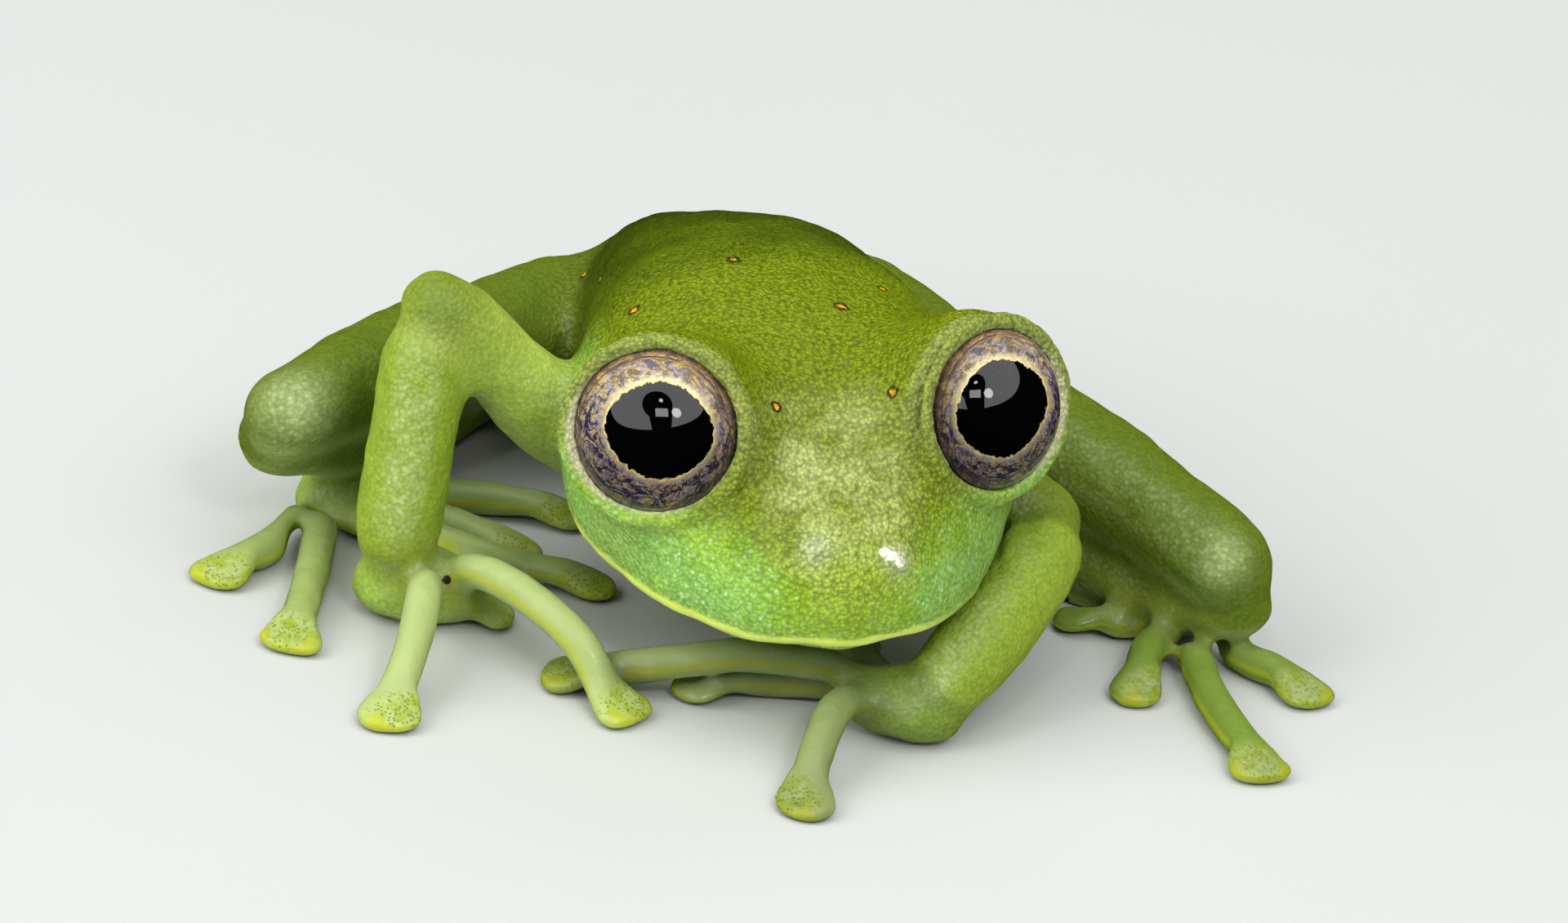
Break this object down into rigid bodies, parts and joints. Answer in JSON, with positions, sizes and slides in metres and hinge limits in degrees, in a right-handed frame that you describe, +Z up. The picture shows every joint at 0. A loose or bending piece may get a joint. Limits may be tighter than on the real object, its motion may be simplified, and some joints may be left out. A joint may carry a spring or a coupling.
{
  "type": "glass frog",
  "caption": "Small green glass frog with large round gold-grey eyes, crouching on its belly with its limbs folded and its finger and toe discs spread on the floor.",
  "frame": {"origin": "middle of the bottom of the frog's box, on the floor that it sits on", "axes": "the frog faces -Y, +X is its left side, +Z is up"},
  "size_m": [0.0262, 0.026, 0.0091],
  "materials": {
    "head_skin": "moist, finely granular",
    "back_skin": "moist, finely granular",
    "limb_skin": "moist, translucent",
    "digit_skin": "moist, translucent",
    "eye": "wet and glossy"
  },
  "bodies": {
    "root": {"eye_left": "eye", "eye_right": "eye", "finger_left_1": "digit_skin", "finger_left_2": "digit_skin", "finger_left_3": "digit_skin", "finger_left_4": "digit_skin", "finger_right_1": "digit_skin", "finger_right_2": "digit_skin", "finger_right_3": "digit_skin", "finger_right_4": "digit_skin", "foot_left": "limb_skin", "foot_right": "limb_skin", "forearm_left": "limb_skin", "forearm_right": "limb_skin", "hand_left": "limb_skin", "hand_right": "limb_skin", "head": "head_skin", "shank_left": "limb_skin", "shank_right": "limb_skin", "thigh_left": "limb_skin", "thigh_right": "limb_skin", "toe_left_1": "digit_skin", "toe_left_2": "digit_skin", "toe_left_3": "digit_skin", "toe_left_4": "digit_skin", "toe_left_5": "digit_skin", "toe_right_1": "digit_skin", "toe_right_2": "digit_skin", "toe_right_3": "digit_skin", "toe_right_4": "digit_skin", "toe_right_5": "digit_skin", "torso": "back_skin", "upper_arm_left": "limb_skin", "upper_arm_right": "limb_skin"}
  },
  "joints": []
}
